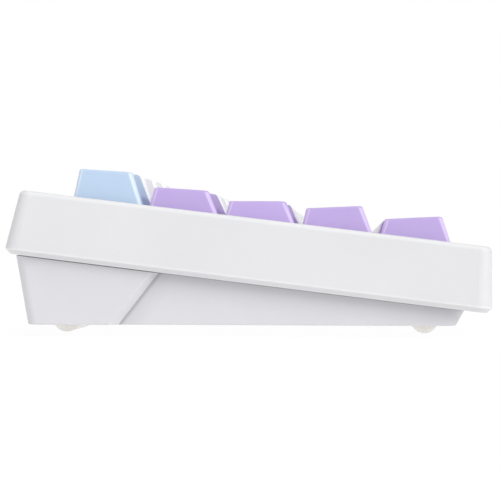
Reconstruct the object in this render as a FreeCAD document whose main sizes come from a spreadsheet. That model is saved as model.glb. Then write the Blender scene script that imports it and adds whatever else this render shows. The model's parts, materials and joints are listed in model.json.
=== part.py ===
import FreeCAD, Part
import math
import os
import Sketcher
from FreeCAD import Placement, Rotation, Vector

# Five-row mechanical keyboard in a wedge-shaped case, standing on rubber feet.
# World frame, millimetres: +X to the typist's right, +Y to the rear, +Z up, origin on the ground below the
# middle of the case.  The board frame is the world frame turned about X by board_tilt and lifted to the rim:
# there x is the width, y runs up the board and z = 0 is the top of the case's rim.
# Switch parts are drawn in the switch frame: the board frame with z = 0 on top of the switch plate.

doc = FreeCAD.newDocument("Keyboard")

# --- driving dimensions -------------------------------------------------------------------------------------

DIMENSIONS = {
    "board_tilt": 7.0,           # slope of the typing surface, degrees
    "rim_height": 28.97,         # rim above the ground at y = 0
    "pitch": 19.05,              # key spacing
    "cap_gap": 0.95,             # gap between neighbouring keycaps
    "block_width": 285.75,       # fifteen key units
    "block_depth": 95.25,        # five rows
    "block_y": -3.4,             # middle of the key block
    # case
    "rim_width": 302.8,          # upper outline of the band
    "rim_front": -59.1,
    "rim_rear": 55.3,
    "rim_corner": 3.0,
    "band_height": 15.65,
    "band_flare": 1.75,          # how far the band widens on each side towards its lower edge
    "band_chamfer": 1.2,
    "rim_round": 1.3,
    "band_wall": 2.4,
    "rim_thickness": 2.4,
    "opening_margin": 0.6,       # gap from the key cells to the opening in the rim
    "opening_wall": 1.5,
    "channel_depth": 9.0,        # how far the opening's inner wall reaches down
    "seam": 0.2,                 # shadow gap between the upper and lower case
    "base_half_width": 149.6,    # lower case, front part
    "block_step": 1.6,           # how far the rear block stands proud of the front part
    "floor_level": 3.05,
    "floor_wall": 2.2,
    "base_wall": 2.4,
    "base_rear_low": 52.9,
    "base_rear_high": 55.9,
    "base_front_low": -50.2,
    "base_front_high": -52.2,
    "step_low_outer": 32.9,      # the diagonal step where the rear block meets the front part
    "step_low_inner": 30.6,
    "step_high_outer": 22.4,
    "step_high_inner": 20.8,
    # plate and circuit board
    "plate_width": 285.0,
    "plate_depth": 94.6,
    "plate_level": -8.3,
    "plate_thickness": 1.5,
    "board_drop": 5.0,           # top of the circuit board below the top of the plate
    "board_thickness": 1.6,
    "board_setback": 0.8,        # front edge of the circuit board behind that of the plate
    # switches
    "switch_cutout": 14.0,
    "housing_top": 6.6,
    "cross_top": 10.2,
    # keycaps
    "skirt_drop": 1.6,           # lower edge of the caps below the rim
    "cap_corner": 1.2,
    "cap_side_inset": 2.9,       # how far the top is narrower on each side
    "cap_wall": 1.35,
    "cap_round": 0.8,
    "dish_depth": 0.5,
    # feet
    "foot_width": 8.6,
    "foot_length": 28.0,
    "foot_sole": 5.6,
    "foot_x": 117.0,
    "rear_foot_y": 48.2,
    "front_foot_y": -43.9,
}

# Keycap profile of each row: where the top's rear and front edges are, from the middle of the key and from
# the cap's lower edge.
ROW_PROFILES = {
    1: {"rear_reach": 8.9, "rear_rise": 8.8, "front_reach": -4.9, "front_rise": 9.5},
    2: {"rear_reach": 8.6, "rear_rise": 6.45, "front_reach": -5.3, "front_rise": 7.2},
    3: {"rear_reach": 8.6, "rear_rise": 5.25, "front_reach": -5.3, "front_rise": 6.9},
    4: {"rear_reach": 8.5, "rear_rise": 5.75, "front_reach": -5.1, "front_rise": 8.0},
    5: {"rear_reach": 8.1, "rear_rise": 5.4, "front_reach": -5.8, "front_rise": 7.8},
}

sheet = doc.addObject("Spreadsheet::Sheet", "Dims")


def fill_sheet():
    cells = dict(DIMENSIONS)
    for row, profile in ROW_PROFILES.items():
        for name, value in profile.items():
            cells["row_%s_%s" % ("abcde"[row - 1], name)] = value
    for line, (name, value) in enumerate(cells.items(), start=1):
        sheet.set("A%d" % line, name)
        sheet.set("B%d" % line, str(value))
        sheet.setAlias("B%d" % line, name)
    doc.recompute()


fill_sheet()


def row_cell(row, name):
    return "Dims.row_%s_%s" % ("abcde"[row - 1], name)


# --- the keys: name, row, left edge and width, both in key units ---------------------------------------------

def line_of_keys(row, left, names, width=1.0):
    return [(name, row, left + index * width, width) for index, name in enumerate(names)]


KEYS = (
    [("escape", 1, 0, 1)]
    + line_of_keys(1, 1, ["one", "two", "three", "four", "five", "six", "seven", "eight", "nine", "zero",
                          "minus", "equals"])
    + [("backspace", 1, 13, 2), ("tab", 2, 0, 1.5)]
    + line_of_keys(2, 1.5, list("qwertyuiop") + ["left_bracket", "right_bracket"])
    + [("backslash", 2, 13.5, 1.5), ("caps_lock", 3, 0, 1.75)]
    + line_of_keys(3, 1.75, list("asdfghjkl") + ["semicolon", "quote"])
    + [("enter", 3, 12.75, 2.25), ("left_shift", 4, 0, 2.25)]
    + line_of_keys(4, 2.25, list("zxcvbnm") + ["comma", "period", "slash"])
    + [("right_shift", 4, 12.25, 2.75)]
    + line_of_keys(5, 0, ["left_control", "command", "left_alt"], 1.25)
    + [("space", 5, 3.75, 6.25)]
    + line_of_keys(5, 10, ["right_alt", "function", "menu", "right_control"], 1.25)
)

# Keys that share one body, because an assembly is limited to sixty separate files.
SHARED_BODIES = {
    "number_row_keys": ["one", "two", "three", "four", "five", "six", "seven", "eight", "nine", "zero",
                        "minus", "equals"],
    "punctuation_keys": ["left_bracket", "right_bracket", "backslash", "semicolon", "quote", "comma",
                         "period", "slash"],
    "right_corner_keys": ["right_alt", "function", "menu"],
}

# Stabilised keys: half the distance between the stabilisers, and the side that the wire's bar is on.
STABILISED = {
    "backspace": (11.94, -1),
    "enter": (11.94, 1),
    "left_shift": (11.94, 1),
    "right_shift": (11.94, 1),
    "space": (50.0, 1),
}

# The wire of a stabiliser turns about its bar, in the switch frame.
WIRE_RADIUS = 0.8
WIRE_BAR_Y = 8.0
WIRE_BAR_Z = -2.6
WIRE_ARM = 8.0
WIRE_REST_ANGLE = 33.4


# --- helpers --------------------------------------------------------------------------------------------------

def dim(name):
    return float(sheet.get(name))


def key_x(left, width):
    """Expression of a key's middle, from the block's left edge."""
    return "Dims.pitch * %g - Dims.block_width / 2" % (left + width / 2)


def key_y(row):
    return "Dims.block_y + Dims.pitch * %d" % (3 - row)


def bind(item, **expressions):
    """Bind properties to expressions; a double underscore in a name stands for a dot."""
    for name, expression in expressions.items():
        item.setExpression(name.replace("__", "."), expression)


def on_board(item, level="0"):
    """Turn an object drawn in the board frame into place; level is added along the board's normal."""
    item.Placement = Placement(Vector(), Rotation(Vector(1, 0, 0), 1))
    bind(item,
         Placement__Rotation__Angle="Dims.board_tilt",
         Placement__Base__y="-(%s) * sin(Dims.board_tilt)" % level,
         Placement__Base__z="Dims.rim_height + (%s) * cos(Dims.board_tilt)" % level)
    return item


def new_body(name):
    return doc.addObject("PartDesign::Body", name)


def sketch(body, name, plane="XY_Plane", level="0", board=None, upright=False):
    """A sketch on one of the body's origin planes, raised to a level along the plane's normal.

    board is a level in the board frame instead, for a body drawn in the world frame; upright turns the plane
    back to horizontal in a body drawn in the board frame.
    """
    item = body.newObject("Sketcher::SketchObject", name)
    item.AttachmentSupport = [(next(f for f in body.Origin.OriginFeatures if f.Role == plane), "")]
    item.MapMode = "FlatFace"
    if board is not None:
        item.AttachmentOffset = Placement(Vector(), Rotation(Vector(1, 0, 0), 1))
        bind(item,
             AttachmentOffset__Rotation__Angle="Dims.board_tilt",
             AttachmentOffset__Base__y="-(%s) * sin(Dims.board_tilt)" % board,
             AttachmentOffset__Base__z="Dims.rim_height + (%s) * cos(Dims.board_tilt)" % board)
    elif upright:
        item.AttachmentOffset = Placement(Vector(), Rotation(Vector(-1, 0, 0), 1))
        bind(item,
             AttachmentOffset__Rotation__Angle="Dims.board_tilt",
             AttachmentOffset__Base__y="(%s - Dims.rim_height) * sin(Dims.board_tilt)" % level,
             AttachmentOffset__Base__z="(%s - Dims.rim_height) * cos(Dims.board_tilt)" % level)
    else:
        bind(item, AttachmentOffset__Base__z=level)
    return item


def worth(expression):
    """The number that an expression stands for."""
    result = sheet.evalExpression(expression)
    return float(getattr(result, "Value", result))


def constrain(item, kind, *places, to):
    """Add a dimension and bind it to an expression."""
    index = item.addConstraint(Sketcher.Constraint(kind, *places, worth(to)))
    item.setExpression("Constraints[%d]" % index, to)


def polygon(item, points):
    """A closed outline whose corners are pairs of expressions."""
    count = len(points)
    spots = [Vector(worth(across), worth(up), 0) for across, up in points]
    lines = item.addGeometry(
        [Part.LineSegment(spots[k], spots[(k + 1) % count]) for k in range(count)], False)
    for k in range(count):
        item.addConstraint(Sketcher.Constraint("Coincident", lines[k], 2, lines[(k + 1) % count], 1))
    for line, (across, up) in zip(lines, points):
        constrain(item, "DistanceX", line, 1, to=across)
        constrain(item, "DistanceY", line, 1, to=up)


def rectangle(item, width, depth, x="0", y="0"):
    low_x, high_x = "%s - (%s) / 2" % (x, width), "%s + (%s) / 2" % (x, width)
    low_y, high_y = "%s - (%s) / 2" % (y, depth), "%s + (%s) / 2" % (y, depth)
    polygon(item, [(low_x, low_y), (high_x, low_y), (high_x, high_y), (low_x, high_y)])


def rounded_rectangle(item, left, right, front, rear, radius):
    """A rectangle with round corners; every argument is an expression."""
    low_x, high_x, low_y, high_y, size = (worth(text) for text in (left, right, front, rear, radius))
    centres = [Vector(high_x - size, low_y + size, 0), Vector(high_x - size, high_y - size, 0),
               Vector(low_x + size, high_y - size, 0), Vector(low_x + size, low_y + size, 0)]
    edges = []
    for turn in range(4):
        away = Rotation(Vector(0, 0, 1), 90 * turn).multVec(Vector(0, -size, 0))
        edges.append(Part.LineSegment(centres[turn - 1] + away, centres[turn] + away))
        edges.append(Part.ArcOfCircle(Part.Circle(centres[turn], Vector(0, 0, 1), size),
                                      math.radians(90 * turn - 90), math.radians(90 * turn)))
    ids = item.addGeometry(edges, False)
    for k in range(8):
        item.addConstraint(Sketcher.Constraint("Tangent", ids[k], 2, ids[(k + 1) % 8], 1))
    for k in (3, 5, 7):
        item.addConstraint(Sketcher.Constraint("Equal", ids[1], ids[k]))
    for line, kind in ((0, "Horizontal"), (2, "Vertical"), (4, "Horizontal"), (6, "Vertical")):
        item.addConstraint(Sketcher.Constraint(kind, ids[line]))
    constrain(item, "Radius", ids[1], to=radius)
    constrain(item, "DistanceY", ids[0], 1, to=front)
    constrain(item, "DistanceX", ids[2], 1, to=right)
    constrain(item, "DistanceY", ids[4], 1, to=rear)
    constrain(item, "DistanceX", ids[6], 1, to=left)


def circles(item, radius, centres):
    for x, y in centres:
        middle = Vector(worth(x), worth(y), 0)
        ring = item.addGeometry(Part.Circle(middle, Vector(0, 0, 1), worth(radius)), False)
        constrain(item, "Radius", ring, to=radius)
        constrain(item, "DistanceX", -1, 1, ring, 3, to=x)
        constrain(item, "DistanceY", -1, 1, ring, 3, to=y)


def feature(body, kind, name, profile, length, down=False, both=False):
    item = body.newObject("PartDesign::" + kind, name)
    item.Profile = profile
    item.Reversed = down
    if both:
        item.SideType = "Symmetric"
    bind(item, Length=length)
    return item


def pad(body, name, profile, length, down=False, both=False):
    return feature(body, "Pad", name, profile, length, down, both)


def pocket(body, name, profile, length, down=True, both=False):
    """A pocket that must take material away; down cuts against the sketch's normal."""
    doc.recompute()
    before = body.Shape.Volume
    item = feature(body, "Pocket", name, profile, length, not down, both)
    doc.recompute()
    if not body.Shape.Volume < before - 1e-6:
        raise RuntimeError("the pocket %s cuts nothing" % name)
    return item


def loft(body, name, lower, upper, cut=False):
    item = body.newObject("PartDesign::SubtractiveLoft" if cut else "PartDesign::AdditiveLoft", name)
    item.Profile = lower
    item.Sections = [upper]
    item.Ruled = True
    return item


def edges_where(body, test):
    """Names of the edges of a body whose every point passes the test."""
    names = []
    for number, edge in enumerate(body.Shape.Edges, start=1):
        low, high = edge.ParameterRange
        spots = [edge.valueAt(low + (high - low) * part) for part in (0.0, 0.5, 1.0)]
        if all(test(spot) for spot in spots):
            names.append("Edge%d" % number)
    return names


def dress(body, kind, name, test, size):
    """A fillet or chamfer on the edges that pass the test."""
    doc.recompute()
    base = body.Tip
    item = body.newObject("PartDesign::" + kind, name)
    item.Base = (base, edges_where(body, test))
    bind(item, **{"Radius" if kind == "Fillet" else "Size": size})
    doc.recompute()
    return item


def copies(name, master, places):
    """Links to a master shape at places, each a triple of expressions."""
    links = []
    for number, place in enumerate(places, start=1):
        link = doc.addObject("App::Link", "%s_%d" % (name, number))
        link.LinkedObject = master
        link.LinkTransform = True
        for axis, expression in zip("xyz", place):
            link.setExpression("Placement.Base." + axis, expression)
        links.append(link)
    return links


def group(name, links):
    item = doc.addObject("Part::Compound", name)
    item.Links = links
    return item


def part_box(name, low, high):
    """A Part::Box between two corners, each a triple of expressions."""
    item = doc.addObject("Part::Box", name)
    bind(item,
         Length="(%s) - (%s)" % (high[0], low[0]),
         Width="(%s) - (%s)" % (high[1], low[1]),
         Height="(%s) - (%s)" % (high[2], low[2]),
         Placement__Base__x=low[0],
         Placement__Base__y=low[1],
         Placement__Base__z=low[2])
    return item


def part_cylinder(name, radius, low, high, x="0", y="0"):
    item = doc.addObject("Part::Cylinder", name)
    bind(item,
         Radius=radius,
         Height="(%s) - (%s)" % (high, low),
         Placement__Base__x=x,
         Placement__Base__y=y,
         Placement__Base__z=low)
    return item


def cut(name, base, tool):
    item = doc.addObject("Part::Cut", name)
    item.Base = base
    item.Tool = tool
    return item


ALL_SWITCHES = [(key_x(left, width), key_y(row), "0") for _, row, left, width in KEYS]
KEY_PLACES = {name: (row, left, width) for name, row, left, width in KEYS}


def stabiliser_places():
    """x and y expressions of every stabiliser, with the side of its wire's bar."""
    places = []
    for name, (reach, side) in STABILISED.items():
        row, left, width = KEY_PLACES[name]
        for hand in (-1, 1):
            places.append(("%s + %g" % (key_x(left, width), hand * reach), key_y(row), side))
    return places


# --- keycaps --------------------------------------------------------------------------------------------------

CROSS_ARM, CROSS_BLADE = 4.0, 1.17       # the slider's cross
SOCKET_ARM, SOCKET_SLOT = 4.1, 1.27      # the plus-shaped socket in the cap, a little wider
POST_RADIUS = "2.75"
ABOVE_CAP = "12"                         # a level clear above every cap
ACROSS_CAP = "30"                        # a depth that goes through every cap
SCOOP_LENGTH = 40


def cross(item, x, arm, thickness):
    """The plus-shaped outline of a switch stem at x; arm and thickness are numbers."""
    long, thin = arm / 2, thickness / 2
    turns = [(thin, thin), (long, thin), (long, -thin), (thin, -thin), (thin, -long), (-thin, -long),
             (-thin, -thin), (-long, -thin), (-long, thin), (-thin, thin), (-thin, long), (thin, long)]
    polygon(item, [("%g + %g" % (x, across), "%g" % up) for across, up in turns])


def keycap(row, width):
    """One keycap, z = 0 at its lower edge: a leaning hollow shell with a socket for each stem."""
    name = "cap_%s_%d" % ("abcde"[row - 1], round(width * 100))
    reach = {2: 11.94, 2.25: 11.94, 2.75: 11.94, 6.25: 50.0}.get(width)
    body = new_body(name)
    rear, front = row_cell(row, "rear_reach"), row_cell(row, "front_reach")
    rear_rise, front_rise = row_cell(row, "rear_rise"), row_cell(row, "front_rise")
    middle_rise = "(%s + %s) / 2" % (rear_rise, front_rise)
    half_width = "(Dims.pitch * %g - Dims.cap_gap) / 2" % width
    half_depth = "(Dims.pitch - Dims.cap_gap) / 2"

    side = sketch(body, name + "_side_outline", "YZ_Plane")
    polygon(side, [("-" + half_depth, "0"), (half_depth, "0"), (rear, rear_rise), (front, front_rise)])
    pad(body, name + "_block", side, "2 * %s" % half_width, both=True)
    flanks = sketch(body, name + "_flank_outline", "XZ_Plane")
    narrow = "%s - Dims.cap_side_inset * %s / (%s)" % (half_width, ABOVE_CAP, middle_rise)
    for sign in ("", "-"):
        outside = "%s(%s + 1)" % (sign, half_width)
        polygon(flanks, [(sign + half_width, "0"), ("%s(%s)" % (sign, narrow), ABOVE_CAP),
                         (outside, ABOVE_CAP), (outside, "0")])
    pocket(body, name + "_flanks", flanks, ACROSS_CAP, both=True)

    # the outside faces, as tests for a point
    low_half_x, low_half_y = worth(half_width), worth(half_depth)
    top_rear, top_front = Vector(0, worth(rear), worth(rear_rise)), Vector(0, worth(front), worth(front_rise))
    flank_lean = dim("cap_side_inset") / worth(middle_rise)
    top_lean = (top_front.z - top_rear.z) / (top_rear.y - top_front.y)

    def on_flank(spot):
        return abs(abs(spot.x) - low_half_x + flank_lean * spot.z) < 0.01

    def on_end(spot):
        front_y = -low_half_y + (top_front.y + low_half_y) * spot.z / top_front.z
        rear_y = low_half_y + (top_rear.y - low_half_y) * spot.z / top_rear.z
        return min(abs(spot.y - front_y), abs(spot.y - rear_y)) < 0.01

    def on_top(spot):
        return abs(spot.z - top_rear.z - (top_rear.y - spot.y) * top_lean) < 0.01

    under = [face for face, item in enumerate(body.Shape.Faces, start=1) if item.BoundBox.ZMax < 0.01]
    shell = body.newObject("PartDesign::Thickness", name + "_shell")
    shell.Base = (body.Group[-2], ["Face%d" % under[0]])
    shell.Reversed = True
    shell.Join = 1
    bind(shell, Value="Dims.cap_wall")
    dress(body, "Fillet", name + "_soft_corners", lambda spot: on_flank(spot) and on_end(spot), "Dims.cap_corner")
    dress(body, "Fillet", name + "_soft_top", on_top, "Dims.cap_round")

    if width < 6:
        # a shallow scoop along the key, as deep on a wide cap as on a narrow one
        span = 2 * (low_half_x - dim("cap_side_inset") - dim("cap_round"))
        depth = dim("dish_depth")
        radius = (span * span / 4 + depth * depth) / (2 * depth)
        scoop = body.newObject("PartDesign::SubtractiveCylinder", name + "_dish")
        scoop.Radius = radius
        scoop.Height = SCOOP_LENGTH
        lean = Rotation(Vector(-1, 0, 0), math.degrees(math.atan(top_lean)))
        scoop.AttachmentSupport = [(next(f for f in body.Origin.OriginFeatures if f.Role == "XY_Plane"), "")]
        scoop.MapMode = "FlatFace"
        scoop.AttachmentOffset = Placement(
            (top_rear + top_front) / 2 + lean.multVec(Vector(0, SCOOP_LENGTH / 2, radius - depth)),
            lean.multiply(Rotation(Vector(1, 0, 0), 90)))
        doc.recompute()

    stems = [0] if reach is None else [-reach, 0, reach]
    # the posts start just above the slider's shoulders, which are level with the housing's top
    post_level = "Dims.housing_top + 0.4 + Dims.plate_level + Dims.skirt_drop"
    posts = sketch(body, name + "_post_outline", level=post_level)
    circles(posts, POST_RADIUS, [("%g" % x, "0") for x in stems])
    pad(body, name + "_posts", posts, "%s - 1.0 - (%s)" % (middle_rise, post_level))
    sockets = sketch(body, name + "_socket_outline", level=post_level)
    for x in stems:
        cross(sockets, x, SOCKET_ARM, SOCKET_SLOT)
    pocket(body, name + "_sockets", sockets, "Dims.cross_top + 0.2 - Dims.housing_top - 0.4", down=False)
    return body


# --- the switch -------------------------------------------------------------------------------------------------

def slider(name, shoulder, depth, shoulder_low, shoulder_high, with_pin):
    """The moving stem: a shoulder that stays inside, a neck, and the cross that carries the cap."""
    body = new_body(name)
    base = sketch(body, name + "_shoulder_outline", level=shoulder_low)
    rectangle(base, shoulder, depth)
    pad(body, name + "_shoulder", base, "(%s) - (%s)" % (shoulder_high, shoulder_low))
    neck = sketch(body, name + "_neck_outline", level="(%s) - 0.5" % shoulder_high)
    rectangle(neck, "min(%s; 7.0)" % shoulder, "min(%s; 5.8)" % depth)
    pad(body, name + "_neck", neck, "Dims.housing_top - (%s) + 0.5" % shoulder_high)
    plus = sketch(body, name + "_cross_outline", level="Dims.housing_top")
    cross(plus, 0, CROSS_ARM, CROSS_BLADE)
    pad(body, name + "_cross", plus, "Dims.cross_top - Dims.housing_top")
    if with_pin:
        bore = sketch(body, name + "_bore_outline", level=shoulder_low)
        circles(bore, "2.45", [("0", "0")])
        pocket(body, name + "_bore", bore, "3.0", down=False)
        pin = sketch(body, name + "_pin_outline", level="-3.0")
        circles(pin, "0.9", [("0", "0")])
        pad(body, name + "_pin", pin, "%s + 3.0 + 3.5" % shoulder_low)
    return body


def lower_housing():
    body = new_body("lower_housing_master")
    inside = sketch(body, "lower_box_outline", level="-Dims.board_drop")
    rectangle(inside, "13.9", "13.9")
    pad(body, "lower_box", inside, "Dims.board_drop + 0.5")
    flange = sketch(body, "flange_outline")
    rectangle(flange, "15.6", "15.6")
    pad(body, "flange", flange, "1.0")
    post = sketch(body, "locating_post_outline", level="-8.4")
    circles(post, "1.95", [("0", "0")])
    pad(body, "locating_post", post, "3.6")
    cavity = sketch(body, "cavity_outline", level="1.0")
    rectangle(cavity, "10.6", "11.6")
    pocket(body, "cavity", cavity, "4.8")
    bore = sketch(body, "pin_bore_outline", level="-3.8")
    circles(bore, "1.15", [("0", "0")])
    pocket(body, "pin_bore", bore, "3.8")
    slots = sketch(body, "contact_slot_outline", level="-3.8")
    for x, y in CONTACT_PINS:
        rectangle(slots, "1.1", "0.7", "%g" % x, "%g" % y)
    pocket(body, "contact_slots", slots, "2.0")
    return body


CONTACT_PINS = [(-3.81, 2.54), (2.54, 5.08)]


def upper_housing():
    """The hipped upper half, open on top for the slider."""
    body = new_body("upper_housing_master")

    def outline(label, width, depth, level):
        item = sketch(body, label, level=level)
        rectangle(item, width, depth)
        return item

    loft(body, "upper_outside", outline("upper_foot", "15.0", "15.0", "1.0"),
         outline("upper_roof", "9.6", "7.6", "Dims.housing_top"))
    loft(body, "upper_inside", outline("upper_inner_foot", "12.6", "12.6", "1.0"),
         outline("upper_inner_roof", "8.9", "6.9", "Dims.housing_top - 1.2"), cut=True)
    doc.recompute()
    opening = outline("upper_opening_outline", "7.4", "6.2", "Dims.housing_top")
    pocket(body, "upper_opening", opening, "2.0")
    return body


def contact_pair():
    """Two leaf contacts, each with a pin that goes through the circuit board."""
    (left_x, left_y), (right_x, right_y) = CONTACT_PINS
    thick = 0.15
    left = new_body("left_contact_master")
    side = sketch(left, "left_contact_outline", "YZ_Plane", level="%g" % left_x)
    wall_y = right_y
    polygon(side, [(str(y), str(z)) for y, z in [
        (left_y - thick, -7.8), (left_y + thick, -7.8), (left_y + thick, -3.7), (wall_y + thick, -3.7),
        (wall_y + thick, 0.6), (wall_y - thick, 0.6), (wall_y - thick, -3.4), (left_y - thick, -3.4)]])
    pad(left, "left_contact", side, "0.8", both=True)
    right = part_box("right_contact_master", (str(right_x - 0.4), str(right_y - thick), "-7.8"),
                     (str(right_x + 0.4), str(right_y + thick), "0.6"))
    return group("contact_pair_master", [left, right])


def hot_swap_socket():
    body = new_body("socket_master")
    face = sketch(body, "socket_outline", level="-Dims.board_drop - Dims.board_thickness")
    polygon(face, [(str(x), str(y)) for x, y in [
        (-6.6, 0.9), (-2.6, 0.9), (-1.2, 3.2), (5.0, 3.2), (5.0, 6.9), (-3.4, 6.9), (-6.6, 4.6)]])
    pad(body, "socket_block", face, "1.8", down=True)
    holes = sketch(body, "socket_holes_outline", level="-Dims.board_drop - Dims.board_thickness")
    circles(holes, "0.7", [(str(x), str(y)) for x, y in CONTACT_PINS])
    pocket(body, "socket_holes", holes, "2.0")
    return body


def spring():
    """The coil spring around the slider's pin, drawn as the tube that the coils fill."""
    outside = part_cylinder("spring_outside", "2.2", "-3.8", "4.6")
    inside = part_cylinder("spring_inside", "1.75", "-4.0", "4.8")
    return cut("spring_master", outside, inside)


# --- stabilisers ------------------------------------------------------------------------------------------------

def stabiliser_housing(side):
    """The guide of one stabiliser stem; its wire's bar runs through a bore on the given side."""
    name = "stabiliser_housing_%s" % ("rear" if side > 0 else "front")
    body = new_body(name)

    def span(low, high):
        """y range of a rectangle, mirrored for a bar in front."""
        return "%g" % abs(high - low), "%g" % (side * (low + high) / 2)

    block = sketch(body, name + "_outline", level="-Dims.board_drop")
    depth, middle = span(-4.6, 9.4)
    rectangle(block, "6.6", depth, "0", middle)
    pad(body, name + "_block", block, "Dims.board_drop + 2.0")
    well = sketch(body, name + "_well_outline", level="2.0")
    rectangle(well, "5.7", "7.2")
    pocket(body, name + "_well", well, "6.2")
    channel = sketch(body, name + "_channel_outline", level="2.0")
    depth, middle = span(3.0, 9.6)
    rectangle(channel, "2.7", depth, "0", middle)
    pocket(body, name + "_channel", channel, "6.2")
    bore = sketch(body, name + "_bore_outline", "YZ_Plane")
    circles(bore, "0.88", [("%g" % (side * WIRE_BAR_Y), "%g" % WIRE_BAR_Z)])
    pocket(body, name + "_bore", bore, "8.0", both=True)
    return body


def stabiliser_stem(side):
    """The stabiliser's slider, with a notch that the wire's arm carries."""
    name = "stabiliser_stem_%s" % ("rear" if side > 0 else "front")
    body = slider(name, "5.2", "6.6", "0.4", "4.0", with_pin=False)
    notch = sketch(body, name + "_notch_outline", level="0.4")
    rectangle(notch, "2.4", "4.2", "0", "%g" % (side * 1.5))
    pocket(body, name + "_notch", notch, "2.6", down=False)
    return body


def stabiliser_wire(name, reach, side):
    """A round wire bent to a U, lying in the switch frame with its arms raised to the stems."""
    angle = math.radians(WIRE_REST_ANGLE)
    bar_y = side * WIRE_BAR_Y
    tip = Vector(0, -side * WIRE_ARM * math.cos(angle), WIRE_ARM * math.sin(angle))
    bend = 1.0
    arm = Vector(tip).normalize()
    corners = [Vector(hand * reach, bar_y, WIRE_BAR_Z) for hand in (-1, 1)]
    slant = math.sqrt(0.5)
    edges = [Part.LineSegment(corners[0] + tip, corners[0] + arm * bend).toShape()]
    for corner, inward in ((corners[0], 1), (corners[1], -1)):
        along = Vector(inward, 0, 0)
        centre = corner + along * bend + arm * bend
        middle = centre - (along + arm) * (bend * slant)
        edges.append(Part.Arc(corner + arm * bend, middle, corner + along * bend).toShape())
    edges.insert(2, Part.LineSegment(corners[0] + Vector(bend, 0, 0), corners[1] - Vector(bend, 0, 0)).toShape())
    edges.append(Part.LineSegment(corners[1] + arm * bend, corners[1] + tip).toShape())
    path = Part.Wire(Part.__sortEdges__(edges))
    ring = Part.Wire([Part.Circle(corners[0] + tip, arm, WIRE_RADIUS).toShape()])
    item = doc.addObject("Part::Feature", name)
    item.Shape = path.makePipeShell([ring], True, False)
    return item


# --- the case ---------------------------------------------------------------------------------------------------

OPENING_LEFT = "-(Dims.block_width / 2 + Dims.opening_margin)"
OPENING_RIGHT = "Dims.block_width / 2 + Dims.opening_margin"
OPENING_FRONT = "Dims.block_y - Dims.block_depth / 2 - Dims.opening_margin"
OPENING_REAR = "Dims.block_y + Dims.block_depth / 2 + Dims.opening_margin"
BAND_BOTTOM = "-Dims.band_height"
SCREW_X = [-140.0, -46.0, 46.0, 140.0]
SCREW_Y = 49.4
SCREW_SEAT = 21.2
HOOK_X = [-112.0, -38.0, 38.0, 112.0]
SOCKET_X = -118.0
SOCKET_WIDTH = 9.0
SOCKET_HEIGHT = 3.3
SOCKET_LEVEL = -11.0


def band_outline(body, name, level, grow, radius):
    """A rounded outline of the band at a level, grown on every side."""
    item = sketch(body, name, level=level)
    rounded_rectangle(item,
                      "-(Dims.rim_width / 2 + %s)" % grow, "Dims.rim_width / 2 + %s" % grow,
                      "Dims.rim_front - (%s)" % grow, "Dims.rim_rear + %s" % grow, radius)
    return item


def top_case():
    """The flared band with the bezel around the keys, hollow from below."""
    body = new_body("top_case")
    shoulder = "-Dims.band_height + Dims.band_chamfer"
    top = band_outline(body, "rim_outline", "0", "0", "Dims.rim_corner")
    wide = band_outline(body, "flare_outline", shoulder, "Dims.band_flare",
                        "Dims.rim_corner + Dims.band_flare / 2")
    loft(body, "band", wide, top)
    foot = band_outline(body, "foot_outline", BAND_BOTTOM, "Dims.band_flare - Dims.band_chamfer",
                        "Dims.rim_corner")
    wide_again = band_outline(body, "flare_again_outline", shoulder, "Dims.band_flare",
                              "Dims.rim_corner + Dims.band_flare / 2")
    loft(body, "chamfered_foot", foot, wide_again)
    dress(body, "Fillet", "soft_rim", lambda spot: spot.z > -0.01, "Dims.rim_round")
    inner_low = band_outline(body, "inner_low_outline", BAND_BOTTOM, "Dims.band_flare - Dims.band_wall", "2.0")
    inner_high = band_outline(body, "inner_high_outline", "-Dims.rim_thickness", "-Dims.band_wall", "2.0")
    loft(body, "band_hollow", inner_low, inner_high, cut=True)
    doc.recompute()
    wall = "Dims.opening_wall"
    collar = sketch(body, "collar_outline", level="-Dims.channel_depth")
    rounded_rectangle(collar, "%s - %s" % (OPENING_LEFT, wall), "%s + %s" % (OPENING_RIGHT, wall),
                      "%s - %s" % (OPENING_FRONT, wall), "%s + %s" % (OPENING_REAR, wall), "2.5")
    pad(body, "collar", collar, "Dims.channel_depth - 0.5")
    bosses = sketch(body, "boss_outline", level="%g" % SCREW_SEAT, upright=True)
    circles(bosses, "2.6", [("%g" % x, "%g" % SCREW_Y) for x in SCREW_X])
    pad(body, "bosses", bosses, "12.0")
    ribs = sketch(body, "hook_rib_outline", level="-8.6")
    rib_y = "Dims.rim_front + Dims.band_wall + 0.4"
    for x in HOOK_X:
        rectangle(ribs, "14.0", "2.6", "%g" % x, rib_y)
    pad(body, "hook_ribs", ribs, "1.6")
    opening = sketch(body, "opening_outline", level="1.0")
    rounded_rectangle(opening, OPENING_LEFT, OPENING_RIGHT, OPENING_FRONT, OPENING_REAR, "1.0")
    pocket(body, "opening", opening, "Dims.channel_depth + 12.0")
    dress(body, "Fillet", "soft_opening",
          lambda spot: spot.z > -0.01 and abs(spot.x) < dim("block_width") / 2 + 0.7
          and abs(spot.y - dim("block_y")) < dim("block_depth") / 2 + 0.7, "0.5")
    pilots = sketch(body, "pilot_outline", level="%g" % SCREW_SEAT, upright=True)
    circles(pilots, "1.02", [("%g" % x, "%g" % SCREW_Y) for x in SCREW_X])
    pocket(body, "pilots", pilots, "5.0", down=False)
    port = sketch(body, "port_outline", "XZ_Plane", level="-Dims.rim_rear - 6.0")
    rectangle(port, "%g" % (SOCKET_WIDTH + 3.0), "%g" % (SOCKET_HEIGHT + 3.0), "%g" % SOCKET_X,
              "%g" % SOCKET_LEVEL)
    pocket(body, "port", port, "14.0", down=False)
    return on_board(body)


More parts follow.
